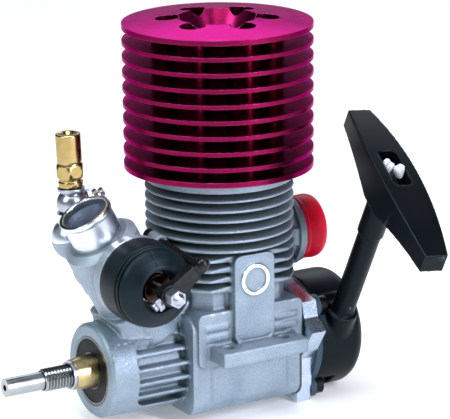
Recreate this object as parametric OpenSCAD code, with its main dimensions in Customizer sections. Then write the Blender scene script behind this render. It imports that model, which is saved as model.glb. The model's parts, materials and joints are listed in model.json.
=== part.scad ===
// Model glow engine with slide carburettor, finned cooling head and pull starter.
// The crankshaft runs along Y, the cylinder stands along Z, and the throttle faces +X.
// The origin is the centre of the four lug holes, on the underside of the lugs.

/* [Engine core] */
// Cylinder bore
bore_d = 16.6; // [16:0.1:17]
// Piston stroke
stroke = 16; // [14:0.5:16]
// Height of the lug underside above the crank axis
lug_under = 2.6; // [2:0.1:3]
// Radius of the crank chamber
chamber_r = 13.2; // [13.1:0.1:13.4]
// Radius of the rear crankshaft journal
journal_r = 7; // [6.5:0.1:7]

/* [Crankcase] */
// Front face of the snout
nose_front = -41; // [-42:0.5:-40]
// Outer radius of the snout
nose_r = 13.3; // [13:0.1:14]
// Half length of the block along the crankshaft
block_y = 16.5; // [16.3:0.1:16.6]
// Half width of the block
block_x = 15.4; // [15:0.1:16]
// Spacing of the lug holes across the engine
lug_span_x = 38; // [37:0.5:39]
// Spacing of the lug holes along the crankshaft
lug_span_y = 17.5; // [16:0.5:18]
// Radius of the lug holes
lug_hole_r = 1.65; // [1.5:0.05:1.8]
// Thickness of the lugs
lug_t = 4; // [3.5:0.1:4.5]

/* [Cylinder fins] */
// Radius of the cast fins
fin_r = 20.5; // [19:0.5:21]
// Distance between cast fins
fin_pitch = 2.8; // [2.6:0.1:3]
// Thickness of a cast fin at its edge
fin_t = 0.7; // [0.5:0.05:1]

/* [Cooling head] */
// Radius of the cooling head
head_r = 26; // [24:0.5:27]
// Underside of the cooling head above the crank axis
head_z = 52.3; // [52:0.1:53]
// Number of discs of the cooling head
head_discs = 10; // [8:1:10]
// Distance between discs
head_pitch = 4.265; // [4:0.005:4.4]
// Thickness of a disc
head_fin_t = 1.1; // [0.9:0.05:1.4]

/* [Carburettor] */
// Carburettor centre along the crankshaft
carb_y = -33; // [-33.5:0.1:-32.5]
// Carburettor centre above the crank axis
carb_z = 28.2; // [28:0.1:28.5]
// Forward lean of the intake, degrees
carb_lean = 28; // [26:0.5:30]
// Length of the intake above the slide's axis
throat_h = 18.8; // [18:0.1:20]
// Outer radius of the intake neck
throat_r = 7.1; // [6.8:0.1:7.4]
// Bore radius of the intake
throat_bore_r = 5.9; // [5:0.1:6]
// Radius of the throttle slide
slide_r = 5.5; // [5:0.1:5.6]

/* [Exhaust] */
// Height of the exhaust port above the crank axis
exhaust_z = 30.3; // [30:0.1:31]
// Radius of the exhaust flange
exhaust_r = 9.9; // [9.5:0.1:10.2]

/* [Pull starter] */
// Outer radius of the starter housing
drum_r = 16.6; // [16.4:0.1:17]
// Rear face of the starter housing
drum_back = 38; // [37.5:0.5:39]
// Middle plane of the rope spool along the crankshaft
rope_y = 30; // [29.6:0.1:30.4]
// Radius at which the rope winds
rope_wind_r = 9.9; // [9.7:0.1:10.1]
// Lean of the rope guide from vertical, degrees
pull_lean = 27.8; // [26:0.1:30]
// Length of the pull handle
handle_l = 59; // [56:0.5:61]

/* [Hidden] */

fs = 72;
crank_z = -lug_under;
rod_l = 30;
pin_z = stroke / 2;
wrist_z = pin_z + rod_l;
bore_r = bore_d / 2;
liner_r = bore_r + 1.7;
head_step_z = head_z - 2;
fin_base_z = 21.05;
fins_straight = 4;
fins_round = 6;
head_core_r = 12;
head_top_z = head_z + (head_discs - 1) * head_pitch + 1.4;
screw_ring_r = 13.4;
front_bearing_y = [nose_front + 0.1, nose_front + 6.1];
rear_bearing_y = [-15, -9];
shaft_front = -67;
taper_y = [-47, -41];
disc_y = [-8.4, -3];
rod_y = [-2.4, 3.6];
plate_y = [17, 21.5];
base_t = 1.8;
base_y = [plate_y[1], plate_y[1] + base_t];
spool_y = [27, 33];
tube_end = 44.7;
bar_face = 69.3;
bar_shift = 3.7;
bar_twist = -9.7;
tube_r = 3.25;
rope_start = 6.9;
knot_r = 2.3;
low_screw_z = -13.4;
boot_x = [13, 26.4];
hub_x = [19, 36];
hub_r = 1.7;
arm_x = 33;
arm_l = 12.2;
arm_rise = 33;
needle_pos = [-12, -39.1, 40.4];
needle_lean = 2.2;
seam_z = -8.4;

module at_crank() translate([0, 0, crank_z]) children();

// Cylinder along Y between two stations
module ycyl(r, y, n = fs) translate([0, y[0], 0]) rotate([-90, 0, 0]) cylinder(r = r, h = y[1] - y[0], $fn = n);
module ycone(ra, rb, y) translate([0, y[0], 0]) rotate([-90, 0, 0])
    cylinder(r1 = ra, r2 = rb, h = y[1] - y[0], $fn = fs);
module ytube(ro, ri, y) difference() {
    ycyl(ro, y);
    ycyl(ri, [y[0] - 1, y[1] + 1]);
}
// Cylinder along X between two stations
module xcyl(r, x, n = fs) translate([x[0], 0, 0]) rotate([0, 90, 0]) cylinder(r = r, h = x[1] - x[0], $fn = n);
module xcone(ra, rb, x) translate([x[0], 0, 0]) rotate([0, 90, 0])
    cylinder(r1 = ra, r2 = rb, h = x[1] - x[0], $fn = fs);
module ztube(ro, ri, h) difference() {
    cylinder(r = ro, h = h, $fn = fs);
    translate([0, 0, -1]) cylinder(r = ri, h = h + 2, $fn = fs);
}
module centred(size, at) translate(at) cube(size, center = true);
// Rectangle with round corners, centred
module round_rect(w, h, r) {
    square([w - 2 * r, h], center = true);
    square([w, h - 2 * r], center = true);
    for (x = [-1, 1], y = [-1, 1]) translate([x * (w / 2 - r), y * (h / 2 - r)]) circle(r = r, $fn = 24);
}
// Round-cornered block across X: w runs along Y and h along Z
module x_slab(w, h, r, x, y = 0, z = 0) translate([x[0], y, z]) rotate([90, 0, 90])
    linear_extrude(x[1] - x[0]) round_rect(w, h, r);
module mirrored_x() {
    children();
    mirror([1, 0, 0]) children();
}
module at_carb() translate([0, carb_y, carb_z]) children();
module at_throat() at_carb() rotate([carb_lean, 0, 0]) children();
// Frame of the pull line: local Z runs out along the rope, local X across it
module at_pull() translate([0, rope_y, 0]) rotate([0, pull_lean, 0]) translate([rope_wind_r, 0, 0]) children();
module at_clamp_bolt() at_throat() translate([0, 8.2, -16]) rotate([0, 90, 0]) children();
module at_idle_screw() translate([-8, -22.9, 36.7]) rotate([0, 98.3, 4.8]) children();
module at_needle() translate(needle_pos) rotate([needle_lean, 0, 0]) children();
module socket_head(r, h, hex_r) difference() {
    cylinder(r = r, h = h, $fn = 36);
    translate([0, 0, h * 0.45]) cylinder(r = hex_r, h = h, $fn = 6);
}

// ---- crankcase ----
module snout() {
    ycone(nose_r - 0.9, nose_r - 0.2, [nose_front, nose_front + 0.8]);
    ycone(nose_r - 0.2, nose_r + 0.3, [nose_front + 0.8, -block_y + 1]);
}
module snout_windows() mirrored_x() difference() {
    x_slab(16.6, 19, 4, [4, 16], -24.7);
    ycyl(10.6, [-40, -10]);
    for (i = [-1.5 : 1.5]) centred([30, 20, 1.05], [0, -24.7, i * 3.95]);
}
module snout_grooves() for (y = [-37.6, -36.2, -34.8]) ytube(nose_r + 2, nose_r - 0.15, [y, y + 0.55]);

module block() {
    difference() {
        union() {
            translate([0, 0, 0.3]) rotate([90, 0, 0]) translate([0, 0, -block_y])
                linear_extrude(2 * block_y + 1.2) round_rect(2 * block_x, 28.2, 4.2);
            mirrored_x() for (s = [-1, 1]) x_slab(11, 15, 1.6, [4, 16.6], s * (block_y - 5.5), 8.2);
        }
        mirrored_x() difference() {
            x_slab(25, 12, 1, [block_x - 0.35, block_x + 3], 0.3, -5.6);
            x_slab(23.6, 10.6, 0.7, [0, block_x + 4], 0.3, -5.6);
        }
    }
    mirrored_x() for (s = [-1, 1], k = [0, 1])
        x_slab(7.6, 1.5, 0.74, [14, 17], s * (block_y - 5.7), 8.6 + k * 2.9);
}
module side_panel() mirrored_x() {
    difference() {
        x_slab(12.6, 25, 2.2, [8, 18.4], 0.2, 18.6);
        difference() {
            x_slab(11.2, 23.4, 1.8, [18.1, 20], 0.2, 18.6);
            x_slab(10.4, 22.6, 1.6, [17, 21], 0.2, 18.6);
        }
    }
    translate([18.2, 0.1, 24]) rotate([0, 90, 0]) ztube(4.4, 3.5, 0.75);
}
module lugs() mirrored_x() difference() {
    translate([19.4, 0, lug_under + lug_t / 2]) cube([10.9, 26.8, lug_t], center = true);
    for (s = [-1, 1]) translate([lug_span_x / 2, s * lug_span_y / 2, 0]) {
        cylinder(r = lug_hole_r, h = 20, $fn = 36);
        translate([0, 0, lug_under + lug_t - 0.35]) cylinder(r = 3.6, h = 2, $fn = 36);
    }
}
// A fin that thins towards its edge, as it has to for the casting to leave its die
module cast_fin() rotate_extrude($fn = fs)
    polygon([[12, -0.45], [15.3, -0.45], [fin_r, 0.25], [fin_r, 0.25 + fin_t], [15.3, 1.75], [12, 1.75]]);
module barrel() {
    translate([0, 0, 12]) cylinder(r = 15.3, h = head_step_z - 12, $fn = fs);
    intersection() {
        translate([0, 0, 14]) cylinder(r = 17.6, h = 7.2, $fn = fs);
        centred([2 * 14.2, 2 * 14.8, 40], [0, 0, 15]);
    }
    for (i = [0 : fins_straight - 1]) intersection() {
        translate([0, 0, fin_base_z + i * fin_pitch]) cast_fin();
        centred([2 * 16.4, 60, 60], [0, 0, 20]);
    }
    for (i = [0 : fins_round - 1]) translate([0, 0, fin_base_z + (fins_straight + i) * fin_pitch]) cast_fin();
    translate([0, 0, 49.05]) cylinder(r = fin_r, h = head_z - 49.05, $fn = fs);
}
module exhaust_stub() translate([0, 0, exhaust_z]) {
    ycyl(8, [8, 20.8]);
    ycyl(exhaust_r, [20.6, 22.6]);
    centred([17, 12, 5], [0, 15, 0]);
}
module carb_boss() {
    at_throat() {
        translate([0, 0, -22]) cylinder(r = 9.9, h = 22 + seam_z, $fn = fs);
        translate([0, 0, -21]) linear_extrude(10.8) round_rect(17.4, 20.4, 2);
    }
    translate([-8.2, 0, 0]) rotate([90, 0, 90]) linear_extrude(16.4)
        polygon([[-35, 6], [-36, 12.5], [-30, 16.5], [-22, 17.4], [-17, 21], [-12, 21], [-12, 6]]);
}
module crankcase() color("lightsteelblue") at_crank() difference() {
    union() {
        difference() {
            snout();
            snout_windows();
            snout_grooves();
        }
        block();
        side_panel();
        lugs();
        barrel();
        exhaust_stub();
        carb_boss();
    }
    ycyl(9.5, [nose_front - 1, front_bearing_y[1]]);
    ycyl(journal_r + 0.05, [nose_front, 0]);
    ycyl(12.7, [rear_bearing_y[0], 0]);
    ycyl(chamber_r, [rear_bearing_y[1], block_y + 1]);
    translate([0, 0, 4]) cylinder(r = liner_r, h = 60, $fn = fs);
    translate([0, 0, head_step_z]) cylinder(r = liner_r + 2, h = 10, $fn = fs);
    translate([0, 0, exhaust_z]) ycyl(5.5, [4, 30]);
    at_throat() translate([0, 0, -19]) cylinder(r = 6.5, h = 20, $fn = fs);
    at_throat() translate([0, 0, -30]) cylinder(r = 4.6, h = 20, $fn = fs);
    at_throat() translate([0, 0, seam_z - 1.15]) cylinder(r = 8.15, h = 5, $fn = fs);
    upper_screw_points() ycyl(1.3, [10, 20], 24);
    for (a = [0 : 60 : 300]) rotate([0, 0, a]) translate([screw_ring_r, 0, 44])
        cylinder(r = 1.3, h = 10, $fn = 24);
    at_clamp_bolt() translate([0, 0, -20]) cylinder(r = 1.25, h = 40, $fn = 24);
}

// ---- cylinder and head ----
module cylinder_liner() color("darkgoldenrod") at_crank() difference() {
    union() {
        translate([0, 0, 14.4]) cylinder(r = liner_r, h = head_z - 14.4, $fn = fs);
        translate([0, 0, head_step_z]) cylinder(r = liner_r + 2, h = head_z - head_step_z, $fn = fs);
    }
    cylinder(r = bore_r, h = 80, $fn = fs);
    translate([0, 0, exhaust_z]) ycyl(3.6, [0, 30]);
    for (x = [-1, 1]) translate([0, 0, exhaust_z - 2]) scale([x, 1, 1]) xcyl(2.6, [0, 20]);
}
module head_button() color("gainsboro") at_crank() difference() {
    union() {
        translate([0, 0, head_z + 0.2]) cylinder(r = liner_r + 1.9, h = 2.3, $fn = fs);
        translate([0, 0, 48]) cylinder(r = bore_r - 0.1, h = 5, $fn = fs);
        translate([0, 0, head_z + 2]) cylinder(r = 6, h = 9, $fn = fs);
    }
    translate([0, 0, 43.4]) sphere(r = 7.2, $fn = 48);
    translate([0, 0, 45]) cylinder(r = 3.15, h = 30, $fn = 48);
}
module head_gasket() color("peru") at_crank() translate([0, 0, head_z]) ztube(liner_r + 1.9, bore_r + 0.1, 0.2);
module head_bowl() {
    translate([0, 0, head_top_z - 5.2]) cylinder(r1 = 6.6, r2 = 11.4, h = 7.2, $fn = fs);
    translate([0, 0, head_z - 1]) cylinder(r = 6.5, h = 60, $fn = fs);
}
module cooling_head() color("mediumvioletred") at_crank() difference() {
    union() {
        translate([0, 0, head_z]) cylinder(r = head_core_r, h = head_top_z - head_z, $fn = fs);
        for (i = [0 : head_discs - 1]) translate([0, 0, head_z + i * head_pitch])
            cylinder(r = head_r, h = i == 0 || i == head_discs - 1 ? head_fin_t + 0.3 : head_fin_t, $fn = 96);
        translate([0, 0, head_top_z]) cylinder(r1 = head_r - 0.3, r2 = 11.6, h = 1.3, $fn = 96);
        for (a = [0 : 60 : 300]) rotate([0, 0, a]) translate([screw_ring_r, 0, head_z])
            cylinder(r = 4.5, h = head_top_z - head_z, $fn = 36);
    }
    head_bowl();
    for (a = [0 : 60 : 300]) rotate([0, 0, a]) translate([screw_ring_r, 0, head_z + 3.4])
        cylinder(r = 3.5, h = 60, $fn = 36);
    for (a = [0 : 60 : 300]) rotate([0, 0, a]) translate([screw_ring_r, 0, head_z - 1])
        cylinder(r = 1.5, h = 10, $fn = 24);
    translate([0, 0, head_z - 0.01]) cylinder(r = liner_r + 2, h = 2.6, $fn = fs);
}
module glow_plug() color("silver") at_crank() {
    translate([0, 0, 50.5]) cylinder(r = 3.1, h = 13.5, $fn = 36);
    translate([0, 0, 64.0]) cylinder(r = 4.6, h = 5, $fn = 6);
    translate([0, 0, 69.0]) cylinder(r = 2.6, h = 2.4, $fn = 36);
    translate([0, 0, 71.4]) cylinder(r = 1.2, h = 4, $fn = 24);
}
module head_screws() color("dimgray") at_crank() for (a = [0 : 60 : 300]) rotate([0, 0, a])
    translate([screw_ring_r, 0, 0]) {
        translate([0, 0, 45]) cylinder(r = 1.25, h = 11, $fn = 24);
        translate([0, 0, head_z + 3.5]) socket_head(2.3, 2.8, 1.2);
    }

// ---- bearings and crankshaft ----
module race(ro, ri, y, groove_r, ball_r) rotate([-90, 0, 0]) translate([0, 0, y[0]]) rotate_extrude($fn = fs)
    difference() {
        translate([ri, 0]) square([ro - ri, y[1] - y[0]]);
        translate([groove_r, (y[1] - y[0]) / 2]) circle(r = ball_r, $fn = 32);
    }
module balls(n, ring_r, ball_r, y) for (i = [0 : n - 1]) rotate([0, i * 360 / n, 0])
    translate([ring_r, (y[0] + y[1]) / 2, 0]) sphere(r = ball_r, $fn = 24);
module front_bearing_outer() color("lightgray") at_crank() difference() {
    race(9.5, 7.9, front_bearing_y, 6.5, 1.75);
    ycyl(8.9, [nose_front, front_bearing_y[0] + 0.8]);
}
module front_bearing_inner() color("lightgray") at_crank() race(5.1, 3.5, front_bearing_y, 6.5, 1.75);
module front_bearing_balls() color("silver") at_crank() balls(7, 6.5, 1.69, front_bearing_y);
module front_bearing_seal() color("black") at_crank()
    ytube(8.85, 5.17, [front_bearing_y[0] + 0.15, front_bearing_y[0] + 0.75]);
module rear_bearing_outer() color("lightgray") at_crank() race(12.7, 11, rear_bearing_y, 9.85, 1.75);
module rear_bearing_inner() color("lightgray") at_crank() race(8.7, journal_r, rear_bearing_y, 9.85, 1.75);
module rear_bearing_balls() color("silver") at_crank() balls(9, 9.85, 1.69, rear_bearing_y);

module crankshaft() color("silver") at_crank() difference() {
    union() {
        ycyl(2.5, [shaft_front, -56]);
        ycyl(2.85, [-56, -48]);
        for (i = [0 : 8]) ycone(2.85, 3.18, [-55.8 + i * 0.907, -55.35 + i * 0.907]);
        for (i = [0 : 8]) ycone(3.18, 2.85, [-55.35 + i * 0.907, -54.9 + i * 0.907]);
        ycyl(3.45, [-48, front_bearing_y[1] + 2]);
        ycyl(journal_r - 0.002, [front_bearing_y[1] + 0.2, disc_y[0] - 0.5]);
        ycyl(7.6, [disc_y[0] - 0.5, disc_y[0]]);
        intersection() {
            ycyl(12.4, disc_y);
            union() {
                centred([40, 20, 15], [0, -6, -8]);
                centred([15, 20, 26], [0, -6, 0]);
            }
        }
    }
    ycyl(3.6, [-26, 0]);
    centred([9, 7.5, 9], [0, -22.5, 6]);
    ycyl(0.9, [shaft_front - 1, shaft_front + 2.5], 24);
}
module shaft_washer() color("gainsboro") at_crank() ytube(3.95, 3.45, [-48, taper_y[0]]);
module shaft_collet() color("gold") at_crank() difference() {
    ycone(4.2, 4.75, taper_y);
    ycyl(3.45, [-50, -38]);
    centred([0.45, 20, 6], [0, -44, 4.4]);
}
module crankpin() color("silver") at_crank() translate([0, 0, pin_z]) ycyl(2.45, [rod_y[0] + 0.1, rod_y[1] + 0.6]);
module connecting_rod() color("darkgray") at_crank() {
    difference() {
        union() {
            translate([0, 0, pin_z]) ycyl(4.3, rod_y);
            translate([0, 0, wrist_z]) ycyl(3.8, rod_y);
            centred([5, 3.6, rod_l - 6], [0, (rod_y[0] + rod_y[1]) / 2, pin_z + rod_l / 2]);
        }
        translate([0, 0, pin_z]) ycyl(2.5, [-10, 10]);
        translate([0, 0, wrist_z]) ycyl(2.25, [-10, 10]);
    }
}
module wrist_pin() color("silver") at_crank() translate([0, 0, wrist_z]) ytube(2.2, 1, [-7, 7]);
module wrist_pin_clips() color("dimgray") at_crank() translate([0, 0, wrist_z]) for (s = [-1, 1])
    ytube(2.2, 1.2, s > 0 ? [7.05, 7.55] : [-7.55, -7.05]);
module piston() color("gray") at_crank() difference() {
    translate([0, 0, wrist_z - 7]) cylinder(r = bore_r - 0.03, h = 16, $fn = fs);
    translate([0, 0, wrist_z - 9]) cylinder(r = bore_r - 1.5, h = 14.6, $fn = fs);
    translate([0, 0, wrist_z]) ycyl(2.25, [-20, 20]);
}

// ---- backplate and pull starter ----
// Half outline of the plate, from the top middle round to the bottom middle
plate_half = [[0, 16.6], [3.2, 16.6], [12.6, 14.2], [15.6, 13.6], [16.7, 9.2], [20.9, 6.1],
    [14.6, -3.2], [13.4, -8.5], [12.7, -16.4], [0, -16.4]];
module plate_outline() {
    polygon(plate_half);
    mirror([1, 0]) polygon(plate_half);
}
module y_plate(y) translate([0, y[1], 0]) rotate([90, 0, 0]) linear_extrude(y[1] - y[0]) children();
module upper_screw_points() for (x = [-1, 1]) translate([x * 12.6, 0, 11]) children();
module lower_screw_points() for (x = [-1, 1]) translate([x * 10.6, 0, low_screw_z]) children();
module screw_points() {
    upper_screw_points() children();
    lower_screw_points() children();
}
module backplate() color("gainsboro") at_crank() difference() {
    union() {
        y_plate(plate_y) plate_outline();
        ycyl(chamber_r - 0.05, [10, plate_y[0]]);
    }
    ycyl(chamber_r - 2, [9, 12.5]);
    ycyl(5.05, [8, 30]);
    screw_points() ycyl(1.35, [0, 30], 24);
}
module backplate_gasket() color("dimgray") at_crank() difference() {
    y_plate([block_y, plate_y[0]]) round_rect(2 * block_x, 28, 4.2);
    ycyl(chamber_r - 0.05, [0, 30]);
    upper_screw_points() ycyl(1.35, [0, 30], 24);
}
module backplate_screws() color("black") at_crank() upper_screw_points() {
    ycyl(1.25, [12, base_y[1] + 0.2], 24);
    translate([0, base_y[1], 0]) rotate([-90, 0, 0]) socket_head(2.4, 2.6, 1.2);
}
module starter_base() color("darkslategray") at_crank() difference() {
    y_plate(base_y) union() {
        circle(r = drum_r - 0.2, $fn = fs);
        for (x = [-1, 1]) translate([x * 12.6, 11]) circle(r = 3.2, $fn = 32);
        for (x = [-1, 1]) translate([x * 10.6, low_screw_z]) circle(r = 2.9, $fn = 32);
    }
    ycyl(5.4, [0, 40]);
    screw_points() ycyl(1.35, [0, 30], 24);
}
module rope_guide() at_pull() {
    cylinder(r = tube_r, h = tube_end, $fn = 48);
    translate([0, 0, 8]) cylinder(r = 4.4, h = 8, $fn = 48);
}
module drum_solid(inset, back) rotate([-90, 0, 0]) rotate_extrude($fn = fs)
    translate([0, base_y[1]]) {
        square([drum_r - inset, back - base_y[1] - 4 + inset]);
        square([drum_r - inset - 4, back - base_y[1]]);
        translate([drum_r - inset - 4, back - base_y[1] - 4]) circle(r = 4, $fn = 48);
    }
module starter_housing() color("#24262b") at_crank() difference() {
    union() {
        drum_solid(0, drum_back);
        rope_guide();
    }
    ycyl(drum_r - 1.6, [base_y[1] - 1, 34.6]);
    ycyl(2.1, [30, 36.8], 36);
    at_pull() translate([0, 0, 3]) cylinder(r = 1.5, h = 100, $fn = 36);
    upper_screw_points() ycyl(2.6, [20, 27], 36);
    lower_screw_points() ycyl(2.9, [20, 30], 36);
}
module starter_screws() color("black") at_crank() lower_screw_points() {
    ycyl(1.25, [plate_y[0] + 0.6, base_y[1] + 0.2], 24);
    translate([0, base_y[1], 0]) rotate([-90, 0, 0]) socket_head(2.4, 2.6, 1.2);
}
module starter_spool() color("ivory") at_crank() difference() {
    union() {
        ycyl(13.4, [spool_y[0], spool_y[0] + 0.9]);
        ycyl(8.6, spool_y);
        ycyl(13.4, [spool_y[1] - 0.9, spool_y[1]]);
    }
    ycyl(6.05, [20, 40]);
    ycyl(7.8, [28, 40]);
}
// Flat spiral: radius grows steadily over the turns
function spiral(r, grow, turns, step = 15) =
    [for (a = [0 : step : 360 * turns]) (r + grow * a / 360) * [cos(a), sin(a)]];
function backwards(list) = [for (i = [len(list) - 1 : -1 : 0]) list[i]];
module recoil_spring() color("slategray") at_crank() y_plate([28.6, 32.6])
    polygon(concat(spiral(6.35, 0.42, 2.5), backwards(spiral(6.55, 0.42, 2.5))));
module one_way_bearing() color("lightgray") at_crank() ytube(6, 4.05, [23.4, 32]);
module starter_shaft() color("silver") at_crank() {
    ycyl(4, [10.5, 32.4]);
    ycyl(2, [32.4, 36.4], 36);
}
module rope_coil() color("whitesmoke") at_crank() ytube(10.8, 8.65, [28.1, 31.9]);
module starter_rope() color("whitesmoke") at_crank() at_pull()
    translate([0, 0, rope_start]) cylinder(r = 0.95, h = bar_face - 2 - knot_r - rope_start, $fn = 24);
module rope_knot() color("white") at_crank() at_pull()
    translate([0, 0, bar_face - 2]) sphere(r = knot_r, $fn = 32);

// Side view of the handle: X across, Y out along the rope
module handle_profile() {
    difference() {
        intersection() {
            translate([0, bar_face - 192]) circle(r = 192, $fn = 360);
            translate([0, bar_face - 8]) square([handle_l, 24], center = true);
        }
        for (s = [-1, 1]) translate([s * 24, bar_face - 67.6]) circle(r = 60, $fn = 360);
        translate([0, bar_face - 18]) square([80, 14], center = true);
    }
}
module handle_plan() {
    intersection_for(s = [-1, 1]) translate([0, s * 168.2]) circle(r = 174, $fn = 360);
}
module pull_handle() color("#24262b") at_crank() at_pull() difference() {
    union() {
        rotate(bar_twist) translate([bar_shift, 0, 0]) intersection() {
            rotate([90, 0, 0]) translate([0, 0, -10]) linear_extrude(20) handle_profile();
            linear_extrude(90) intersection() {
                handle_plan();
                square([handle_l, 20], center = true);
            }
        }
        translate([0, 0, tube_end + 0.4]) cylinder(r = 3.75, h = 14, $fn = 48);
    }
    translate([0, 0, bar_face - 6]) rotate(bar_twist) translate([0.8, 0, 0]) linear_extrude(20) round_rect(14, 5.4, 1.6);
    cylinder(r = 1.3, h = 200, $fn = 36);
}

// ---- carburettor ----
module carb_body() color("lightsteelblue") at_crank() difference() {
    union() {
        at_throat() {
            translate([0, 0, 4]) cylinder(r = throat_r, h = throat_h - 4, $fn = fs);
            translate([0, 0, -2]) cylinder(r = 10.4, h = 10.6, $fn = fs);
            translate([0, 0, 8.6]) cylinder(r1 = 10.4, r2 = 8.6, h = 1.6, $fn = fs);
            translate([0, 0, seam_z + 0.2]) cylinder(r = 10, h = 12, $fn = fs);
            translate([0, 0, -18.6]) cylinder(r = 6.42, h = 12, $fn = fs);
        }
        difference() {
            union() {
                at_idle_screw() translate([0, 0, 10]) cylinder(r = 2, h = 4, $fn = 36);
                at_throat() centred([3.6, 7, 2.2], [3.8, 9.2, -0.7]);
            }
            cylinder(r = fin_r + 0.2, h = 60, $fn = fs);
        }
        difference() {
            at_carb() {
                xcyl(8.8, [-8.4, 9.8]);
                xcone(9, 11.4, [5, 9.8]);
                xcyl(11.4, [9.8, 12.6]);
            }
            at_throat() translate([0, 0, seam_z - 9.8]) cylinder(r = 9.95, h = 10, $fn = fs);
        }
        at_needle() {
            translate([0, 0, -6]) sphere(r = 6.3, $fn = 64);
            translate([0, 0, -6]) cylinder(r = 4.3, h = 7.4, $fn = 48);
        }
    }
    at_throat() translate([0, 0, -30]) cylinder(r = throat_bore_r - 1.1, h = 80, $fn = fs);
    at_throat() translate([0, 0, 6]) cylinder(r = throat_bore_r, h = 80, $fn = fs);
    at_throat() translate([0, 0, 13]) cylinder(r1 = throat_bore_r, r2 = throat_bore_r + 0.9, h = 6.6, $fn = fs);
    at_carb() xcyl(slide_r + 0.05, [-9.5, 40]);
    at_carb() xcyl(8.4, [10.2, 40]);
    at_idle_screw() cylinder(r = 1.15, h = 30, $fn = 32);
    at_needle() cylinder(r = 1.2, h = 20, $fn = 24);
}
module carb_oring() color("black") at_crank() at_throat() translate([0, 0, seam_z]) rotate_extrude($fn = fs)
    difference() {
        translate([7.3, -0.3]) circle(r = 0.8, $fn = 24);
        square([6.5, 10], center = true);
        translate([0, 0.15]) square([20, 4]);
    }
module carb_clamp_bolt() color("silver") at_crank() at_clamp_bolt() {
    translate([0, 0, -8.7]) cylinder(r = 1.2, h = 17.5, $fn = 24);
    translate([0, 0, 8.7]) cylinder(r = 2.3, h = 1.8, $fn = 6);
}
module throttle_slide() color("silver") at_crank() at_carb() difference() {
    xcyl(slide_r, [-9.2, 19]);
    rotate([carb_lean, 0, 0]) translate([-6, 0, -10]) cylinder(r = 4.4, h = 20, $fn = 48);
}
module throttle_hub() color("gainsboro") at_crank() at_carb() {
    xcyl(hub_r, [19, hub_x[1] - 1.2], 36);
    xcyl(2.4, [31.2, 34.8], 6);
    xcone(hub_r, 0.9, [hub_x[1] - 1.2, hub_x[1]]);
}
module throttle_arm() color("#1c2024") at_crank() at_carb() translate([arm_x - 5, 0, 0]) rotate([arm_rise, 0, 0])
    difference() {
        union() {
            xcyl(2.9, [0, 3.1], 36);
            centred([2.9, 9, 4.2], [1.6, 5, 0]);
            centred([2.5, 6, 3], [1.6, 7, 0]);
            translate([1.6, arm_l, 0]) sphere(r = 1.95, $fn = 40);
            translate([1.6, 0, 0]) ycyl(1.1, [8, arm_l - 1], 24);
        }
        xcyl(hub_r + 0.02, [-1, 8], 36);
        translate([1.6, 0, 0]) ycyl(1.2, [-6, 0], 24);
    }
module arm_screw() color("silver") at_crank() at_carb() translate([arm_x - 3.4, 0, 0]) rotate([arm_rise, 0, 0]) {
    ycyl(1.15, [-5.4, -2], 24);
    ycyl(1.95, [-4.5, -3], 6);
}
module boot_ring() color("darkgoldenrod") at_crank() at_carb() difference() {
    xcyl(4, [21.4, 24.2]);
    xcyl(hub_r, [0, 40], 36);
}
module throttle_boot() color("#2a3038") at_crank() at_carb() difference() {
    union() {
        xcyl(11.3, [boot_x[0], 20.4]);
        xcyl(10.7, [20.4, 21.2]);
        xcyl(11.2, [21.2, 22.2]);
        xcyl(10.6, [22.2, 23]);
        xcone(11.1, 10.8, [23, 24]);
        xcone(10.8, 6.4, [24, boot_x[1]]);
    }
    xcyl(8.6, [0, 19.6]);
    xcone(8.6, 5.4, [19.6, 23.4]);
    xcyl(5.4, [19, 40]);
}
module idle_stop_screw() color("black") at_crank() at_idle_screw() {
    translate([0, 0, 7.6]) cylinder(r = 1.7, h = 2, $fn = 32);
    translate([0, 0, 9.4]) cylinder(r = 1.1, h = 6, $fn = 32);
    translate([0, 0, 15]) cylinder(r = 1.3, h = 14, $fn = 32);
    difference() {
        translate([0, 0, 29]) cylinder(r = 1.6, h = 4.4, $fn = 32);
        centred([0.6, 6, 3], [0, 0, 33.4]);
    }
}
module needle_housing() color("gainsboro") at_crank() difference() {
    at_needle() {
        translate([0, 0, 1.4]) cylinder(r = 4.1, h = 6, $fn = 48);
        translate([0, 0, 7.4]) cylinder(r1 = 4.1, r2 = 3.2, h = 1, $fn = 48);
    }
    at_needle() cylinder(r = 1.2, h = 20, $fn = 24);
    at_needle() translate([0, 0, 4.6]) ycyl(1.45, [0, 10], 24);
}
module main_needle() color("gold") at_crank() at_needle() {
    translate([0, 0, 1.8]) cylinder(r = 1.1, h = 7, $fn = 24);
    translate([0, 0, 8.7]) cylinder(r = 3.35, h = 2.8, $fn = 48);
    translate([0, 0, 11.5]) cylinder(r = 4.05, h = 3.4, $fn = 6);
    translate([0, 0, 14.9]) cylinder(r = 3.45, h = 8.6, $fn = 48);
}
module fuel_nipple() color("silver") at_crank() at_needle() translate([0, 0, 4.6]) {
    ycyl(1.4, [1.6, 9.6], 32);
    ycyl(2.4, [4.2, 5.4], 6);
    ycone(1.4, 2, [6.2, 7.2]);
    ycone(1.4, 2, [8.2, 9.2]);
}

// ---- exhaust ----
module exhaust_gasket() color("dimgray") at_crank() translate([0, 0, exhaust_z]) ytube(9.3, 5.6, [22.6, 22.9]);
module exhaust_cap() color("crimson") at_crank() translate([0, 0, exhaust_z]) difference() {
    union() {
        ycyl(5.45, [15, 24]);
        ycyl(9.4, [22.9, 24.4]);
        ycyl(9.1, [24.4, 29.4]);
        ycone(9.1, 8.6, [29.4, 30]);
    }
    ycyl(4, [14, 21]);
}

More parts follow.
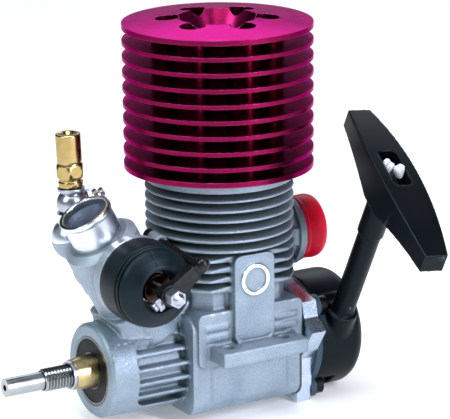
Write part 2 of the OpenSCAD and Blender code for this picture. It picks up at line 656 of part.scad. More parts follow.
crankcase();
cylinder_liner();
head_button();
cooling_head();
glow_plug();
head_gasket();
head_screws();
front_bearing_outer();
front_bearing_inner();
front_bearing_balls();
front_bearing_seal();
rear_bearing_outer();
rear_bearing_inner();
rear_bearing_balls();
crankshaft();
shaft_washer();
shaft_collet();
crankpin();
connecting_rod();
wrist_pin();
wrist_pin_clips();
piston();
backplate();
backplate_gasket();
backplate_screws();
starter_base();
starter_housing();
starter_screws();
starter_spool();
recoil_spring();
one_way_bearing();
starter_shaft();
rope_coil();
starter_rope();
rope_knot();
pull_handle();
carb_body();
carb_oring();
carb_clamp_bolt();
throttle_slide();
throttle_hub();
throttle_arm();
arm_screw();
boot_ring();
throttle_boot();
idle_stop_screw();
needle_housing();
main_needle();
fuel_nipple();
exhaust_gasket();
exhaust_cap();
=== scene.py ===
"""The looks of a model glow engine with a pull starter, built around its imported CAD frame.

Everything is in metres, in the frame's own axes. Lengths are written in millimetres times MM.
The crankshaft runs along Y, the cylinder stands along Z, and the throttle faces +X.
"""

import json
import math

import bmesh
import bpy
from mathutils import Matrix, Vector

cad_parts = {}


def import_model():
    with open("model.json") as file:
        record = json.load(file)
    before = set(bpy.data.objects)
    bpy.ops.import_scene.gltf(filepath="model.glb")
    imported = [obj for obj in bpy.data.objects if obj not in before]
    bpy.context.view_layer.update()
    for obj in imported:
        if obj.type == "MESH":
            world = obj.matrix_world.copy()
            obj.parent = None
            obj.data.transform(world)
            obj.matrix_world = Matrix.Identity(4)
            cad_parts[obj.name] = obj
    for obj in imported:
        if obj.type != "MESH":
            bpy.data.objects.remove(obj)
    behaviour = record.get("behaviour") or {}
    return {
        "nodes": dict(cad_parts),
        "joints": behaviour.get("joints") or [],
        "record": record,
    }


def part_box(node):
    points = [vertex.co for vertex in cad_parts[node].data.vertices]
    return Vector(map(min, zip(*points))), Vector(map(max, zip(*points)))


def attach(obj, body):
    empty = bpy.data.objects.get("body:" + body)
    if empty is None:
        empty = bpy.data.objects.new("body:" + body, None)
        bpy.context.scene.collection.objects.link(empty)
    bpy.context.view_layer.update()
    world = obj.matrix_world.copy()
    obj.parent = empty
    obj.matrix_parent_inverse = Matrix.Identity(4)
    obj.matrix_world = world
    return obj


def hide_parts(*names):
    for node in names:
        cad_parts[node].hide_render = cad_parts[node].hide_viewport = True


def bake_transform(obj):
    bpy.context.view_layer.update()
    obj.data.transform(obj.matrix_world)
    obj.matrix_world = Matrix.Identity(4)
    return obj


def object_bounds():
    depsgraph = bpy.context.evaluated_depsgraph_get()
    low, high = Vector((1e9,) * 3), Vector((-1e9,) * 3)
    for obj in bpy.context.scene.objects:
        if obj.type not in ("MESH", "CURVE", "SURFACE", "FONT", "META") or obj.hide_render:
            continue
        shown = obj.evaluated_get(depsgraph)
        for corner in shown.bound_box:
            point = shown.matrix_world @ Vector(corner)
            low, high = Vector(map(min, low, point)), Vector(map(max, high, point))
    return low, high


MM = 0.001
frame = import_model()
NODES = frame["nodes"]
JOINTS = {joint["name"]: joint for joint in frame["joints"]}
CAD_BOX = [list(corner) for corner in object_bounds()]


def middle(node):
    lo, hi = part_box(node)
    return (Vector(lo) + Vector(hi)) / 2


# ---- materials ----
def plug(tree, socket, value):
    """Links a socket to another, or sets its value."""
    if isinstance(value, bpy.types.NodeSocket):
        tree.links.new(value, socket)
    elif value is not None:
        socket.default_value = value


def rgba(colour):
    return (*colour, 1.0) if len(colour) == 3 else colour


def shader_node(tree, kind, settings=(), **inputs):
    made = tree.nodes.new("ShaderNode" + kind)
    for key, value in dict(settings).items():
        setattr(made, key, value)
    for key, value in inputs.items():
        plug(tree, made.inputs[key.replace("_", " ")], value)
    return made


def maths(tree, operation, a, b=None):
    made = shader_node(tree, "Math", {"operation": operation})
    plug(tree, made.inputs[0], a)
    plug(tree, made.inputs[1], b)
    return made.outputs[0]


def mix(tree, factor, a, b):
    made = shader_node(tree, "Mix", {"data_type": "RGBA"})
    plug(tree, made.inputs[0], factor)
    for socket, value in ((made.inputs[6], a), (made.inputs[7], b)):
        plug(tree, socket, value if isinstance(value, bpy.types.NodeSocket) else rgba(value))
    return made.outputs[2]


def remap(tree, value, low, high, out_low, out_high):
    made = shader_node(tree, "MapRange", Value=value)
    for key, number in (("From Min", low), ("From Max", high), ("To Min", out_low), ("To Max", out_high)):
        made.inputs[key].default_value = number
    return made.outputs[0]


def noise(tree, coords, size, detail=2.0):
    """Soft noise whose spots are about this many metres across."""
    return shader_node(tree, "TexNoise", Vector=coords, Scale=1 / size, Detail=detail).outputs[0]


def turned_coords(tree, coords, axis, centre):
    """Coordinates that only change along an axis and away from it, for the marks a lathe leaves."""
    moved = shader_node(tree, "VectorMath", {"operation": "SUBTRACT"})
    plug(tree, moved.inputs[0], coords)
    moved.inputs[1].default_value = centre
    parts = shader_node(tree, "SeparateXYZ", Vector=moved.outputs[0]).outputs
    along = parts["XYZ".index(axis)]
    across = [part for part in parts if part != along]
    radius = maths(tree, "SQRT", maths(tree, "ADD", maths(tree, "MULTIPLY", across[0], across[0]),
                                       maths(tree, "MULTIPLY", across[1], across[1])))
    return shader_node(tree, "CombineXYZ", X=radius, Y=along).outputs[0]


NOISE_SPAN = (0.35, 0.65)  # where nearly all of a noise's values lie
EDGE_FROM = 0.52           # pointiness at which an edge starts to show


def look(name, colour, shade, metallic=0.0, rough=(0.4, 0.5), grain=0.25, depth=0.006, blotch=7.0,
         edge=None, edge_reach=0.2, recess_shade=None, recess_shade_reach=3.0, bevel=0.25, turned=None, cells=0.0,
         machined=None, wall_shade=None, recess_shade_range=(0.25, 0.95), **fixed):
    """A procedural material, returned after its name.

    The colour drifts between colour and shade over blotches (mm). edge lightens corners, partly as wear and
    partly as a painted highlight where edges catch the light. recess_shade is painted shade that darkens
    recesses, judged over recess_shade_reach (mm), where recess_shade_range says how closed in is dark and how
    open is clear. grain and depth are the size and height of the surface's texture (mm), and bevel rounds
    sharp CAD edges in the shading (mm). turned=(axis, centre) lays the grain in rings round that axis,
    cells raises a knitted pattern of that size (mm), darkened towards its creases as painted shade,
    machined=(colour, point, direction) gives a smooth cut finish to all that lies beyond the point,
    wall_shade is painted shade that darkens upright faces, and fixed holds the shader's own constants.
    """
    made = bpy.data.materials.new(name)
    made.use_nodes = True
    tree = made.node_tree
    shader = tree.nodes["Principled BSDF"]
    shader.inputs["Metallic"].default_value = metallic
    for key, value in fixed.items():
        shader.inputs[key.replace("_", " ")].default_value = value
    coords = shader_node(tree, "TexCoord").outputs["Object"]
    spots = noise(tree, coords, blotch * MM, 3.0)
    texture = noise(tree, turned_coords(tree, coords, *turned) if turned else coords, grain * MM)
    blend = maths(tree, "ADD", maths(tree, "MULTIPLY", spots, 0.5), maths(tree, "MULTIPLY", texture, 0.5))
    base = mix(tree, remap(tree, blend, *NOISE_SPAN, 0.0, 1.0), shade, colour)
    roughness = remap(tree, blend, *NOISE_SPAN, *rough)
    height = texture
    if wall_shade:
        # Painted shade: upright faces are darkened towards a shade colour, as if lit less than level faces.
        upright = shader_node(tree, "SeparateXYZ", Vector=shader_node(tree, "NewGeometry").outputs["Normal"])
        level_face = maths(tree, "ABSOLUTE", upright.outputs["Z"])
        base = mix(tree, remap(tree, level_face, 0.3, 0.9, 0.0, 1.0), wall_shade, base)
    if cells:
        knit = shader_node(tree, "TexVoronoi", Vector=coords, Scale=1 / (cells * MM)).outputs["Distance"]
        height = maths(tree, "SUBTRACT", texture, maths(tree, "MULTIPLY", knit, 1.5))
        # Painted shade: the knit darkens towards the creases between its cells.
        base = mix(tree, remap(tree, knit, 0.35, 0.7, 0.0, 0.7), base, shade)
    if machined:
        cut_colour, point, direction = machined
        fade = 0.05 * MM
        past = shader_node(tree, "VectorMath", {"operation": "DOT_PRODUCT"})
        plug(tree, past.inputs[0], coords)
        past.inputs[1].default_value = direction
        level = point.dot(direction)
        cut = remap(tree, past.outputs["Value"], level - fade, level + fade, 0.0, 1.0)
        base = mix(tree, cut, base, cut_colour)
        roughness = maths(tree, "SUBTRACT", roughness, maths(tree, "MULTIPLY", cut, rough[0] * 0.36))
        height = maths(tree, "MULTIPLY", height, maths(tree, "SUBTRACT", 1.0, cut))
        plug(tree, shader.inputs["Metallic"], remap(tree, cut, 0.0, 1.0, metallic, 1.0))
    rounded = shader_node(tree, "Bevel", {"samples": 4}, Radius=bevel * MM).outputs[0] if bevel else None
    # Corners lighten towards the edge colour, partly as wear and partly as a painted highlight where edges
    # catch the light.
    if edge and rounded:
        flat = shader_node(tree, "NewGeometry").outputs["Normal"]
        dot = shader_node(tree, "VectorMath", {"operation": "DOT_PRODUCT"})
        plug(tree, dot.inputs[0], flat)
        plug(tree, dot.inputs[1], rounded)
        wear_and_glint = remap(tree, dot.outputs["Value"], 1.0, 1.0 - edge_reach, 0.0, 1.0)
        wear_and_glint = maths(tree, "MULTIPLY", wear_and_glint, remap(tree, spots, 0.3, 0.6, 0.45, 1.0))
        base = mix(tree, wear_and_glint, base, edge)
    elif edge:
        # Here too sharp corners lighten, partly as wear and partly as a painted highlight.
        sharp = shader_node(tree, "NewGeometry").outputs["Pointiness"]
        base = mix(tree, remap(tree, sharp, EDGE_FROM, EDGE_FROM + edge_reach, 0.0, 1.0), base, edge)
    if recess_shade:
        # Painted shade: recesses darken towards a dark colour where ambient occlusion finds them closed in.
        open_sky = shader_node(tree, "AmbientOcclusion", {"samples": 6},
                               Distance=recess_shade_reach * MM).outputs["AO"]
        base = mix(tree, remap(tree, open_sky, *recess_shade_range, 0.0, 1.0), recess_shade, base)
    plug(tree, shader.inputs["Base Color"], base)
    plug(tree, shader.inputs["Roughness"], roughness)
    bump = shader_node(tree, "Bump", Strength=1.0, Distance=depth * MM, Height=height, Normal=rounded)
    plug(tree, shader.inputs["Normal"], bump.outputs[0])
    return name, made


# Places that the frame gives
CRANK = middle("front_bearing_outer")
CARB = middle("boot_ring")
NEEDLE = middle("main_needle")
HEAD = middle("cooling_head")
EXHAUST = middle("exhaust_gasket")
KNOT = middle("rope_knot")
MOUNTS = {mount["name"]: mount for mount in frame["record"]["mounts"]}
INTAKE = Vector(MOUNTS["intake_bore"]["axis"])
THROTTLE_AXIS = Vector((0, CARB.y, CARB.z))
NECK_FOOT = 10.6  # how far out from the throttle's axis the intake neck is cut smooth, mm

# In these looks the recess and upright-wall colours are painted shade, and the edge colours are partly wear
# and partly a painted highlight.
LOOKS = dict([
    look("cast_aluminium", (0.31, 0.38, 0.46), (0.19, 0.25, 0.31), 0.5, (0.38, 0.50), 0.45, 0.16, 9,
         edge=(0.60, 0.68, 0.75), edge_reach=0.25, recess_shade=(0.13, 0.17, 0.18), recess_shade_reach=2.5, bevel=0),
    look("cast_carburettor", (0.36, 0.42, 0.51), (0.23, 0.28, 0.35), 0.5, (0.38, 0.50), 0.45, 0.13, 9,
         edge=(0.66, 0.70, 0.76), recess_shade=(0.10, 0.12, 0.13), bevel=0.5, machined=((0.70, 0.76, 0.86),
         THROTTLE_AXIS + INTAKE * NECK_FOOT * MM, INTAKE)),
    look("machined_aluminium", (0.74, 0.78, 0.84), (0.62, 0.66, 0.72), 1.0, (0.16, 0.26), 0.12, 0.002, 6,
         edge=(0.9, 0.93, 0.97), bevel=0.2),
    look("anodised_head", (0.46, 0.022, 0.165), (0.36, 0.008, 0.095), 1.0, (0.24, 0.32), 0.10, 0.002, 10,
         edge=(0.80, 0.13, 0.42), recess_shade=(0.06, 0.001, 0.012), recess_shade_reach=5.0, bevel=0.12,
         turned=("Z", HEAD), wall_shade=(0.19, 0.005, 0.046), Specular_Tint=(1.0, 0.45, 0.78, 1.0)),
    look("polished_plate", (0.66, 0.75, 0.88), (0.44, 0.56, 0.72), 1.0, (0.22, 0.34), 0.3, 0.0003, 9,
         bevel=0),
    look("ground_steel", (0.40, 0.42, 0.43), (0.30, 0.32, 0.34), 1.0, (0.20, 0.28), 0.10, 0.0006, 5,
         recess_shade=(0.004, 0.004, 0.006), recess_shade_reach=1.6, recess_shade_range=(0.62, 0.97), bevel=0,
         turned=("Y", CRANK)),
    look("bearing_steel", (0.16, 0.18, 0.19), (0.11, 0.12, 0.13), 1.0, (0.2, 0.3), 0.10, 0.001, 5,
         edge=(0.4, 0.42, 0.42), recess_shade=(0.05, 0.05, 0.055), recess_shade_reach=1.0, bevel=0.15,
         turned=("Y", CRANK)),
    look("brass", (0.52, 0.39, 0.17), (0.36, 0.25, 0.09), 1.0, (0.18, 0.28), 0.12, 0.002, 4,
         edge=(1.0, 0.86, 0.55), bevel=0.15, turned=("Z", NEEDLE)),
    look("collet_brass", (0.56, 0.45, 0.22), (0.42, 0.32, 0.14), 1.0, (0.24, 0.34), 0.12, 0.002, 4,
         edge=(1.0, 0.9, 0.6), bevel=0.15, turned=("Y", CRANK)),
    look("nickel_steel", (0.46, 0.48, 0.56), (0.38, 0.40, 0.48), 1.0, (0.28, 0.38), 0.2, 0.002, 5,
         edge=(0.95, 0.95, 1.0), recess_shade=(0.06, 0.06, 0.07), recess_shade_reach=1.0, bevel=0.15),
    look("bronze", (0.035, 0.024, 0.014), (0.015, 0.010, 0.006), 1.0, (0.14, 0.26), 0.12, 0.002, 3,
         edge=(0.7, 0.55, 0.32), bevel=0.15, turned=("X", CARB)),
    look("copper_shim", (0.72, 0.32, 0.18), (0.52, 0.22, 0.12), 1.0, (0.25, 0.4), 0.2, 0.002, 4),
    look("black_steel", (0.012, 0.012, 0.014), (0.006, 0.006, 0.008), 0.5, (0.22, 0.36), 0.15, 0.003, 3,
         edge=(0.10, 0.10, 0.12), bevel=0.2, Specular_IOR_Level=0.3),
    look("spring_steel", (0.30, 0.33, 0.38), (0.2, 0.22, 0.27), 1.0, (0.2, 0.3), 0.2, 0.002, 4),
    look("black_plastic", (0.0020, 0.0030, 0.0045), (0.0012, 0.0018, 0.003), 0.0, (0.32, 0.42), 0.22,
         0.005, 8, edge=(0.05, 0.085, 0.115), edge_reach=0.15, bevel=0, IOR=1.3, Specular_IOR_Level=0.35,
         Specular_Tint=(0.65, 0.88, 1.0, 1.0)),
    look("dark_nylon", (0.007, 0.009, 0.011), (0.004, 0.005, 0.006), 0.0, (0.24, 0.34), 0.2, 0.006, 3,
         edge=(0.03, 0.035, 0.04), edge_reach=0.12, bevel=0, IOR=1.35),
    look("nylon", (0.72, 0.70, 0.62), (0.6, 0.58, 0.5), 0.0, (0.4, 0.55), 0.3, 0.005, 6),
    look("boot_rubber", (0.006, 0.011, 0.016), (0.003, 0.006, 0.009), 0.0, (0.34, 0.5), 0.22, 0.010, 3.5,
         recess_shade=(0.001, 0.0015, 0.002), recess_shade_reach=1.2, bevel=0, IOR=1.35, Specular_IOR_Level=0.35,
         Specular_Tint=(0.68, 0.92, 1.0, 1.0)),
    look("seal_rubber", (0.003, 0.003, 0.004), (0.002, 0.002, 0.003), 0.0, (0.4, 0.55), 0.3, 0.008, 4,
         IOR=1.25),
    look("red_silicone", (0.74, 0.004, 0.035), (0.62, 0.003, 0.026), 0.0, (0.36, 0.5), 0.4, 0.010, 5,
         bevel=0, Specular_IOR_Level=0.2, Subsurface_Weight=0.1, Subsurface_Scale=0.001),
    look("gasket_paper", (0.10, 0.11, 0.10), (0.06, 0.07, 0.06), 0.0, (0.7, 0.85), 0.4, 0.01, 3),
    look("rope", (0.80, 0.82, 0.86), (0.56, 0.58, 0.64), 0.0, (0.7, 0.85), 0.18, 0.05, 1.2,
         recess_shade=(0.25, 0.27, 0.30), recess_shade_reach=0.7, bevel=0, cells=0.42, Sheen_Weight=0.2),
])
LOOK_NODES = {
    "cast_aluminium": ("crankcase",),
    "machined_aluminium": ("cylinder_liner", "head_button", "connecting_rod", "piston"),
    "anodised_head": ("cooling_head",),
    "nickel_steel": ("glow_plug", "shaft_washer", "carb_clamp_bolt", "throttle_hub", "arm_screw",
                     "needle_housing", "fuel_nipple"),
    "copper_shim": ("head_gasket",),
    "black_steel": ("head_screws", "backplate_screws", "starter_screws", "idle_stop_screw"),
    "bearing_steel": ("front_bearing_outer", "front_bearing_inner", "front_bearing_balls",
                      "rear_bearing_outer", "rear_bearing_inner", "rear_bearing_balls",
                      "one_way_bearing"),
    "seal_rubber": ("front_bearing_seal", "carb_oring"),
    "ground_steel": ("crankshaft", "crankpin", "wrist_pin", "starter_shaft", "throttle_slide"),
    "collet_brass": ("shaft_collet",),
    "spring_steel": ("wrist_pin_clips", "recoil_spring"),
    "polished_plate": ("backplate",),
    "gasket_paper": ("backplate_gasket", "exhaust_gasket"),
    "black_plastic": ("starter_base", "starter_housing", "pull_handle"),
    "nylon": ("starter_spool",),
    "rope": ("rope_coil", "starter_rope", "rope_knot"),
    "cast_carburettor": ("carb_body",),
    "dark_nylon": ("throttle_arm",),
    "bronze": ("boot_ring",),
    "boot_rubber": ("throttle_boot",),
    "brass": ("main_needle",),
    "red_silicone": ("exhaust_cap",),
}
for look_name, node_names in LOOK_NODES.items():
    for node_name in node_names:
        for slot in NODES[node_name].material_slots:
            slot.material = LOOKS[look_name]


# ---- pieces ----
def piece(name, mesh, body, look_name, replaces=()):
    """Puts a mesh in the scene as a piece that rides on a body and stands for CAD nodes."""
    made = bpy.data.objects.new(name, mesh)
    bpy.context.scene.collection.objects.link(made)
    mesh.materials.clear()
    mesh.materials.append(LOOKS[look_name])
    for polygon in mesh.polygons:
        polygon.use_smooth = True
    if body:
        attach(made, body)
    if replaces:
        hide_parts(*replaces)
    return made


def basis(origin, along, side):
    """A frame with its Z along one direction and its X near another."""
    z = Vector(along).normalized()
    y = z.cross(Vector(side)).normalized()
    turned = Matrix((y.cross(z), y, z)).transposed().to_4x4()
    return Matrix.Translation(origin) @ turned


def mesh_of(name, build, place=Matrix.Identity(4)):
    """A mesh made by a function that fills a bmesh in millimetres, then placed."""
    data = bmesh.new()
    build(data)
    bmesh.ops.remove_doubles(data, verts=data.verts, dist=0.0005)
    bmesh.ops.recalc_face_normals(data, faces=data.faces)
    mesh = bpy.data.meshes.new(name)
    data.to_mesh(mesh)
    data.free()
    mesh.transform(place @ Matrix.Scale(MM, 4))
    return mesh


def turned_rings(data, profile, steps, radius):
    """Rings of vertices round Z for (radius, height) points. radius(r, angle, z) may reshape them."""
    rings = []
    for r, z in profile:
        ring = []
        for k in range(steps):
            angle = math.tau * k / steps
            here = radius(r, angle, z) if radius else r
            ring.append(data.verts.new((here * math.cos(angle), here * math.sin(angle), z)))
        rings.append(ring)
    return rings


def skin(data, pairs):
    """Joins pairs of rings with faces."""
    for a, b in pairs:
        for k in range(len(a)):
            after = (k + 1) % len(a)
            data.faces.new((a[k], a[after], b[after], b[k]))


def lathe(data, profile, steps=96, radius=None):
    """Turns an open profile round Z and closes its two ends."""
    rings = turned_rings(data, profile, steps, radius)
    skin(data, zip(rings, rings[1:]))
    for ring in (rings[0], rings[-1]):
        data.faces.new(ring)


def lathe_shell(data, profile, steps=96, radius=None):
    """Turns a closed profile round Z, so the piece is a ring with no end caps."""
    rings = turned_rings(data, profile, steps, radius)
    skin(data, zip(rings, rings[1:] + rings[:1]))


def rounded_profile(points, radius, steps=4):
    """The same profile with each inner corner replaced by a small arc."""
    out = [points[0]]
    for before, here, after in zip(points, points[1:], points[2:]):
        a, b, c = Vector(before), Vector(here), Vector(after)
        reach = min(radius, (a - b).length * 0.45, (c - b).length * 0.45)
        start, end = b + (a - b).normalized() * reach, b + (c - b).normalized() * reach
        for k in range(steps + 1):
            t = k / steps
            out.append(tuple((1 - t) ** 2 * start + 2 * t * (1 - t) * b + t ** 2 * end))
    out.append(points[-1])
    return out


def hexed(flat_r, chamfer=0.35, spans=((-1e9, 1e9),)):
    """A radius rule that turns a round section into a chamfered hexagon between heights."""
    def rule(r, angle, z):
        for low, high in spans:
            if low <= z <= high:
                off = (angle + math.pi / 6) % (math.pi / 3) - math.pi / 6
                cap = flat_r / math.cos(math.pi / 6) - chamfer + min(z - low, high - z, chamfer)
                return min(flat_r / math.cos(off), cap)
        return r
    return rule


def softened(node, name, voxel, rounds, ratio=None):
    """A copy of a CAD node's shape with moulded, rounded edges."""
    source = NODES[node]
    mesh = source.data.copy()
    mesh.name = name
    made = bpy.data.objects.new(name, mesh)
    made.matrix_world = source.matrix_world
    bpy.context.scene.collection.objects.link(made)
    weld = made.modifiers.new("weld", "WELD")
    weld.merge_threshold = 0.002 * MM
    remesh = made.modifiers.new("remesh", "REMESH")
    remesh.mode, remesh.voxel_size = "VOXEL", voxel * MM
    smooth = made.modifiers.new("smooth", "SMOOTH")
    smooth.factor, smooth.iterations = 0.5, rounds
    if ratio:
        thin = made.modifiers.new("thin", "DECIMATE")
        thin.ratio = ratio
    done = bpy.data.meshes.new_from_object(made.evaluated_get(bpy.context.evaluated_depsgraph_get()))
    bpy.data.objects.remove(made)
    done.name = name
    return done


# Rubber boot over the throttle: a thick wall with a double bead, a cone and a deep cup
CARB_FRAME = basis((0, CARB.y, CARB.z), (1, 0, 0), (0, 1, 0))


PARTING_ANGLE = math.radians(100)
PARTING_HALF = 0.03   # radians
PARTING_DEPTH = 0.14


def boot(data):
    outside = [(10.7, 13.0), (11.4, 13.0), (11.45, 14.0), (11.15, 20.2), (10.2, 20.45), (10.2, 20.75),
               (11.1, 20.95), (11.1, 21.65), (10.1, 21.85), (10.1, 22.15), (10.95, 22.35), (10.5, 23.4),
               (8.7, 25.0), (6.9, 26.15), (6.2, 26.4)]
    inside = [(5.75, 26.1), (5.5, 25.2), (5.2, 23.2), (5.0, 21.0), (8.3, 19.4), (8.7, 15.0), (8.7, 13.0)]

    def parting(r, angle, z):
        turn = (angle - PARTING_ANGLE) % math.pi
        on_cone = 22.9 < z < 26.0 and r > 6.2
        if on_cone and min(turn, math.pi - turn) < PARTING_HALF:
            return r - PARTING_DEPTH
        return r

    lathe_shell(data, rounded_profile(outside + inside, 0.35), 144, parting)


boot_piece = piece("rubber_boot", mesh_of("rubber_boot", boot, CARB_FRAME), None, "boot_rubber",
                   replaces=("throttle_boot",))
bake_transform(boot_piece)

# Cast and moulded parts: the CAD shapes with their edges rounded
piece("cast_crankcase", softened("crankcase", "cast_crankcase", 0.3, 3, 0.7), "root", "cast_aluminium",
      replaces=("crankcase",))
piece("handle_grip", softened("pull_handle", "handle_grip", 0.25, 4, 0.4), "handle", "black_plastic",
      replaces=("pull_handle",))
piece("starter_case", softened("starter_housing", "starter_case", 0.35, 4, 0.4), "root", "black_plastic",
      replaces=("starter_housing",))
piece("throttle_lever", softened("throttle_arm", "throttle_lever", 0.12, 4, 0.5), "throttle", "dark_nylon",
      replaces=("throttle_arm",))


# Needle housing: a plated ball with a collar, and the brass needle with a grooved neck, a barrel and a
# hexagon
NEEDLE_FRAME = basis(Vector(JOINTS["needle_turn"]["pos_m"]), JOINTS["needle_turn"]["axis"], (1, 0, 0))


def needle_housing(data):
    ball = []
    for degrees in range(-36, 50, 6):
        angle = math.radians(degrees)
        ball.append((4.25 * math.cos(angle), 3.9 + 4.0 * math.sin(angle)))
    collar = rounded_profile([(3.0, 7.3), (3.75, 7.4), (3.75, 8.4), (1.25, 8.45)], 0.25)
    lathe(data, [(1.2, 0.2), (2.9, 0.2), (3.3, 1.0)] + ball + collar)


HEX_FROM, HEX_TO = 11.5, 14.9


def brass_needle(data):
    neck = rounded_profile([(1.1, 8.7), (3.3, 8.7), (3.4, 9.2), (3.4, 10.1), (3.05, 10.3), (3.05, 10.8),
                            (3.4, 11.0), (3.4, HEX_FROM)], 0.12)
    hexagon = [(4.0, z) for z in (HEX_FROM, 11.8, 13.1, 14.6, HEX_TO)]
    barrel = rounded_profile([(3.3, HEX_TO), (3.3, 15.5), (3.45, 15.9), (3.45, 23.2), (3.15, 23.5),
                              (1.5, 23.5)], 0.12)
    lathe(data, [(1.1, 1.8), (1.1, 8.7)] + neck + hexagon + barrel + [(1.5, 22.0)],
          radius=hexed(3.55, 0.4, ((HEX_FROM, HEX_TO),)))


piece("plated_ball", mesh_of("plated_ball", needle_housing, NEEDLE_FRAME), "root", "nickel_steel",
      replaces=("needle_housing",))
piece("needle_barrel", mesh_of("needle_barrel", brass_needle, NEEDLE_FRAME), "needle", "brass",
      replaces=("main_needle",))


# Silicone plug in the exhaust
def exhaust_cap(data):
    stem = [(4.0, 21.0), (4.0, 15.0), (5.4, 15.0), (5.4, 22.9)]
    lip = [(9.1, 22.9), (9.4, 23.2), (9.4, 24.0), (8.75, 24.5)]
    body = [(8.95, 26.0), (9.1, 28.6), (8.7, 29.9), (7.6, 30.0), (0.2, 29.7)]
    lathe(data, rounded_profile(stem + lip + body, 0.5, 6))


EXHAUST_FRAME = basis((0, 0, EXHAUST.z), (0, 1, 0), (1, 0, 0))
piece("silicone_plug", mesh_of("silicone_plug", exhaust_cap, EXHAUST_FRAME),
      "root", "red_silicone", replaces=("exhaust_cap",))

# Rope, and its knot in the handle's window
PULL = Vector(JOINTS["rope_pull"]["axis"])
ACROSS = Vector((PULL.z, 0, -PULL.x))
ROPE_R = 0.95        # mm
HANDLE_TWIST = math.radians(-9.7)


def tube(data, path, radius, steps=16, closed=False):
    """A tube round a path of points, its section carried along without twist."""
    count = len(path)
    rings, side = [], Vector((0.3, 0.2, 1)).normalized()
    for k, point in enumerate(path):
        ahead = path[(k + 1) % count] if closed or k + 1 < count else point
        behind = path[k - 1] if closed or k else point
        along = (ahead - behind).normalized()
        side = (side - along * side.dot(along)).normalized()
        other = along.cross(side)
        ring = []
        for j in range(steps):
            angle = math.tau * j / steps
            out = side * math.cos(angle) + other * math.sin(angle)
            ring.append(data.verts.new(point + out * radius(k, j)))
        rings.append(ring)
    skin(data, zip(rings, rings[1:] + rings[:1]) if closed else zip(rings, rings[1:]))
    if not closed:
        data.faces.new(rings[0])
        data.faces.new(rings[-1])


def braid(k, j):
    """The radius of a braided rope at its k-th ring and j-th of 16 points round it."""
    return ROPE_R * (1 + 0.10 * math.sin(0.55 * k + j * math.tau / 4) * math.sin(0.55 * k - j * math.tau / 4))


def knot(data):
    """Two braided lumps side by side, with the rope coming up between them."""
    for middle_x, middle_y, turn in ((-0.95, -1.15, 0.3), (0.95, 1.15, 2.0)):
        path = []
        for k in range(120):
            t = math.tau * k / 120
            path.append(Vector((middle_x + 0.85 * math.sin(t + turn), middle_y + 0.65 * math.cos(t + turn),
                                0.9 * math.sin(2 * t) + 0.7)))
        tube(data, path, braid, closed=True)
    tube(data, [Vector((0, 0, k * 0.2 - 2.2)) for k in range(12)], lambda k, j: ROPE_R)


def rope(data):
    lo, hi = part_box("starter_rope")
    length = (Vector(hi) - Vector(lo)).dot(PULL) / MM - 2 * ROPE_R * PULL.x
    tube(data, [Vector((0, 0, (k / 160 - 0.5) * length)) for k in range(161)],
         lambda k, j: ROPE_R * (1 + 0.04 * math.sin(j * math.tau / 4 + k * 0.8)))


knot_frame = basis(KNOT, PULL, ACROSS) @ Matrix.Rotation(HANDLE_TWIST, 4, "Z")
piece("knot", mesh_of("knot", knot, knot_frame), "handle", "rope", replaces=("rope_knot",))
rope_middle = middle("starter_rope")
rope_piece = piece("pull_rope", mesh_of("pull_rope", rope, basis(rope_middle, PULL, ACROSS)), None, "rope",
                   replaces=("starter_rope",))
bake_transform(rope_piece)

# Rolled lip on the intake neck
def intake_lip(data):
    lathe_shell(data, rounded_profile([(6.2, 17.2), (6.2, 18.7), (6.4, 18.95), (7.3, 18.95), (7.5, 18.7),
                                       (7.5, 17.7), (7.15, 17.3), (7.05, 16.9), (6.3, 16.9)], 0.2))


piece("intake_lip", mesh_of("intake_lip", intake_lip, basis(THROTTLE_AXIS, INTAKE, (1, 0, 0))), "root",
      "machined_aluminium")

# Plain bright ring on the side panel's boss
PANEL_X = 18.2       # face of the panel's boss, mm
PANEL_CENTRE = Vector((0, 0.1 * MM, CRANK.z + 24 * MM))


def ring(data):
    lathe_shell(data, rounded_profile([(3.3, PANEL_X - 0.1), (3.3, PANEL_X + 0.85), (4.5, PANEL_X + 0.85),
                                       (4.5, PANEL_X - 0.1)], 0.2))


piece("panel_ring", mesh_of("panel_ring", ring, basis(PANEL_CENTRE, (1, 0, 0), (0, 1, 0))), "root",
      "machined_aluminium")


# ---- stage ----
FLOOR_RADIUS = 6      # metres
FLOOR_GAP = 0.05 * MM


def stage():
    data = bmesh.new()
    bmesh.ops.create_circle(data, cap_ends=True, segments=96, radius=FLOOR_RADIUS)
    mesh = bpy.data.meshes.new("floor")
    data.to_mesh(mesh)
    data.free()
    floor = bpy.data.objects.new("floor", mesh)
    bpy.context.scene.collection.objects.link(floor)
    floor.location.z = CAD_BOX[0][2] - FLOOR_GAP
    _, paper = look("pale_paper", (0.95, 0.95, 0.95), (0.94, 0.94, 0.94), 0.0, (0.75, 0.85), 3, 0.01, 400,
                 bevel=0, Emission_Color=(0.94, 0.97, 1.0, 1.0), Emission_Strength=0.2)
    mesh.materials.append(paper)


def outward(azimuth, elevation):
    """The direction from the object to something at these angles, in radians."""
    return Vector((math.sin(azimuth) * math.cos(elevation), -math.cos(azimuth) * math.cos(elevation),
                   math.sin(elevation)))


def softbox(name, azimuth, elevation, distance, size, power, colour):
    """A rectangular area light aimed at the object from these angles, in degrees."""
    light = bpy.data.lights.new(name, "AREA")
    light.shape, light.size, light.size_y = "RECTANGLE", size[0], size[1]
    light.energy, light.color = power, colour
    lamp = bpy.data.objects.new(name, light)
    bpy.context.scene.collection.objects.link(lamp)
    back = outward(math.radians(azimuth), math.radians(elevation))
    lamp.location = Vector((0, 0, 30 * MM)) + back * distance
    lamp.rotation_mode = "QUATERNION"
    lamp.rotation_quaternion = (-back).to_track_quat("-Z", "Y")


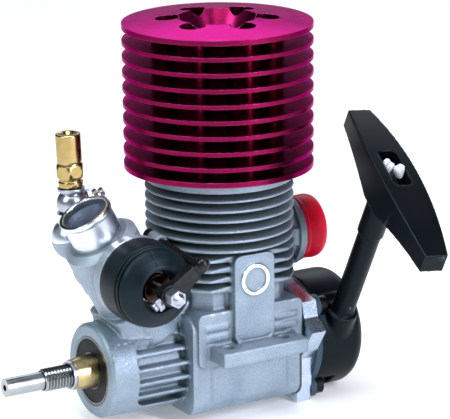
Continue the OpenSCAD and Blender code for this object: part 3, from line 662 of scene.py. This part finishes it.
def camera():
    azimuth, elevation, roll = (math.radians(angle) for angle in (59.383, 15.779, 0.596))
    distance = 724.9 * MM
    aim_right, aim_up = 1.558 * MM, 37.741 * MM   # from the crankshaft's axis to the picture's centre
    back = outward(azimuth, elevation)
    right = Vector((math.cos(azimuth), math.sin(azimuth), 0))
    up = back.cross(right)
    target = right * aim_right + up * aim_up
    target.z += CRANK.z
    across = right * math.cos(roll) - up * math.sin(roll)
    above = right * math.sin(roll) + up * math.cos(roll)
    data = bpy.data.cameras.new("camera")
    data.lens, data.sensor_width = 207.6, 36
    data.clip_start, data.clip_end = 0.01, 50
    made = bpy.data.objects.new("camera", data)
    bpy.context.scene.collection.objects.link(made)
    made.matrix_world = Matrix.Translation(target + back * distance) @ Matrix(
        (across, above, back)).transposed().to_4x4()
    bpy.context.scene.camera = made


def world():
    """A studio: pale at the horizon, dimmer overhead, with soft light and dark strips all round."""
    made = bpy.data.worlds.new("studio")
    made.use_nodes = True
    tree = made.node_tree
    direction = shader_node(tree, "TexCoord").outputs["Generated"]
    parts = shader_node(tree, "SeparateXYZ", Vector=direction).outputs
    around = maths(tree, "ARCTAN2", parts[1], parts[0])
    strip_count, strip_turn = 5.0, 0.6
    strips = maths(tree, "SINE", maths(tree, "ADD", maths(tree, "MULTIPLY", around, strip_count), strip_turn))
    sky = mix(tree, remap(tree, parts[2], 0.0, 0.5, 0.0, 1.0), (0.9, 0.94, 1.0), (0.20, 0.21, 0.24))
    sky = mix(tree, remap(tree, strips, -0.3, 0.5, 0.85, 0.0), sky, (0.03, 0.03, 0.035))
    plug(tree, tree.nodes["Background"].inputs["Color"], sky)
    tree.nodes["Background"].inputs["Strength"].default_value = 0.4
    bpy.context.scene.world = made


stage()
camera()
world()
softbox("key", 106, 26, 0.9, (0.07, 0.7), 9, (0.88, 0.90, 1.0))
softbox("fill", 2, 40, 1.1, (0.3, 0.6), 6.5, (0.88, 1.0, 0.98))
softbox("top", 40, 78, 0.9, (0.5, 0.5), 6, (1.0, 0.98, 1.0))
softbox("back", 228, 32, 1.2, (1.0, 0.4), 3.5, (0.84, 0.90, 1.0))
bpy.context.scene.view_settings.view_transform = "Standard"
